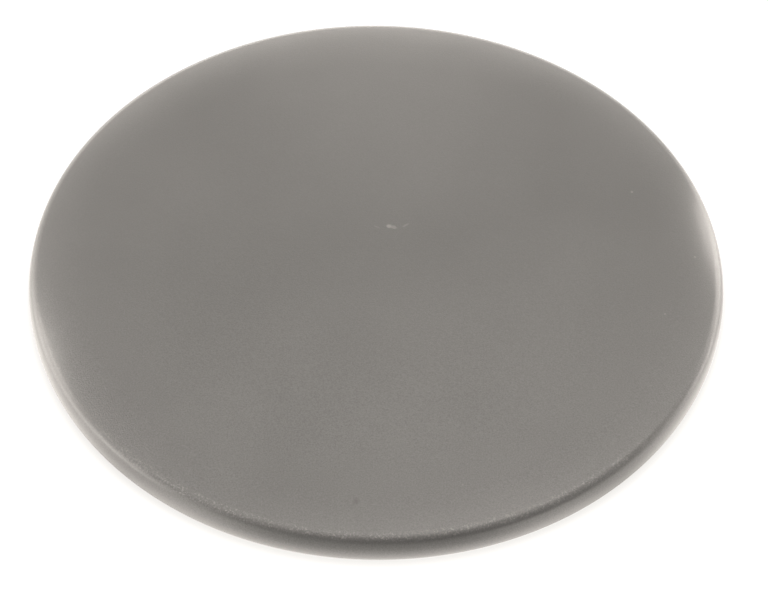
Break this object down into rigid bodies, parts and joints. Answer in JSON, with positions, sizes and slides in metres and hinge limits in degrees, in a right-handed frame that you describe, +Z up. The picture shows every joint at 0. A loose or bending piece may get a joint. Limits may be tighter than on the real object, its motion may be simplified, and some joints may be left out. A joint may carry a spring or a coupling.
{
  "type": "manhole cover",
  "caption": "Plain round cap-type access cover: moulded lid with a rolled edge over a square-ribbed underframe, a rim seal, and spring catches that snap inside a chamber neck.",
  "frame": {"origin": "centre of the plane that the rim's foot rests on", "axes": "+Z up through the plain top, the round lid's own axis; +X, +Y, -X and -Y each run out through one spring catch"},
  "size_m": [0.6498, 0.6498, 0.0365],
  "materials": {
    "lid_composite": "fine moulded grain on top, smooth rounded rim",
    "frame_composite": "moulded, matt",
    "seal_rubber": "matt",
    "catch_body_nylon": "moulded, satin",
    "catch_bolt_acetal": "moulded, satin",
    "plate_steel": "brushed stainless",
    "screw_steel": "stainless",
    "spring_steel": "drawn wire"
  },
  "bodies": {
    "lid": {"cover_lid": "lid_composite", "rib_frame": "frame_composite", "rim_seal": "seal_rubber", "frame_screw_01": "screw_steel", "frame_screw_02": "screw_steel", "frame_screw_03": "screw_steel", "frame_screw_04": "screw_steel", "frame_screw_05": "screw_steel", "frame_screw_06": "screw_steel", "frame_screw_07": "screw_steel", "frame_screw_08": "screw_steel", "frame_screw_09": "screw_steel", "frame_screw_10": "screw_steel", "frame_screw_11": "screw_steel", "frame_screw_12": "screw_steel", "catch_body_east": "catch_body_nylon", "catch_spring_east": "spring_steel", "catch_plate_east": "plate_steel", "ear_screw_east_1": "screw_steel", "ear_screw_east_2": "screw_steel", "plate_screw_east_1": "screw_steel", "plate_screw_east_2": "screw_steel", "catch_body_north": "catch_body_nylon", "catch_spring_north": "spring_steel", "catch_plate_north": "plate_steel", "ear_screw_north_1": "screw_steel", "ear_screw_north_2": "screw_steel", "plate_screw_north_1": "screw_steel", "plate_screw_north_2": "screw_steel", "catch_body_west": "catch_body_nylon", "catch_spring_west": "spring_steel", "catch_plate_west": "plate_steel", "ear_screw_west_1": "screw_steel", "ear_screw_west_2": "screw_steel", "plate_screw_west_1": "screw_steel", "plate_screw_west_2": "screw_steel", "catch_body_south": "catch_body_nylon", "catch_spring_south": "spring_steel", "catch_plate_south": "plate_steel", "ear_screw_south_1": "screw_steel", "ear_screw_south_2": "screw_steel", "plate_screw_south_1": "screw_steel", "plate_screw_south_2": "screw_steel"},
    "bolt_east": {"catch_bolt_east": "catch_bolt_acetal"},
    "bolt_north": {"catch_bolt_north": "catch_bolt_acetal"},
    "bolt_west": {"catch_bolt_west": "catch_bolt_acetal"},
    "bolt_south": {"catch_bolt_south": "catch_bolt_acetal"}
  },
  "joints": [
    {"name": "catch_east_slide", "type": "slide", "parent": "lid", "child": "bolt_east", "axis": [-1, 0, 0], "range_m": [0, 0.01], "stiffness_N_per_m": 1500, "springref_m": -0.006, "deforming": ["catch_spring_east"]},
    {"name": "catch_north_slide", "type": "slide", "parent": "lid", "child": "bolt_north", "axis": [0, -1, 0], "range_m": [0, 0.01], "stiffness_N_per_m": 1500, "springref_m": -0.006, "deforming": ["catch_spring_north"]},
    {"name": "catch_west_slide", "type": "slide", "parent": "lid", "child": "bolt_west", "axis": [1, 0, 0], "range_m": [0, 0.01], "stiffness_N_per_m": 1500, "springref_m": -0.006, "deforming": ["catch_spring_west"]},
    {"name": "catch_south_slide", "type": "slide", "parent": "lid", "child": "bolt_south", "axis": [0, 1, 0], "range_m": [0, 0.01], "stiffness_N_per_m": 1500, "springref_m": -0.006, "deforming": ["catch_spring_south"]}
  ]
}
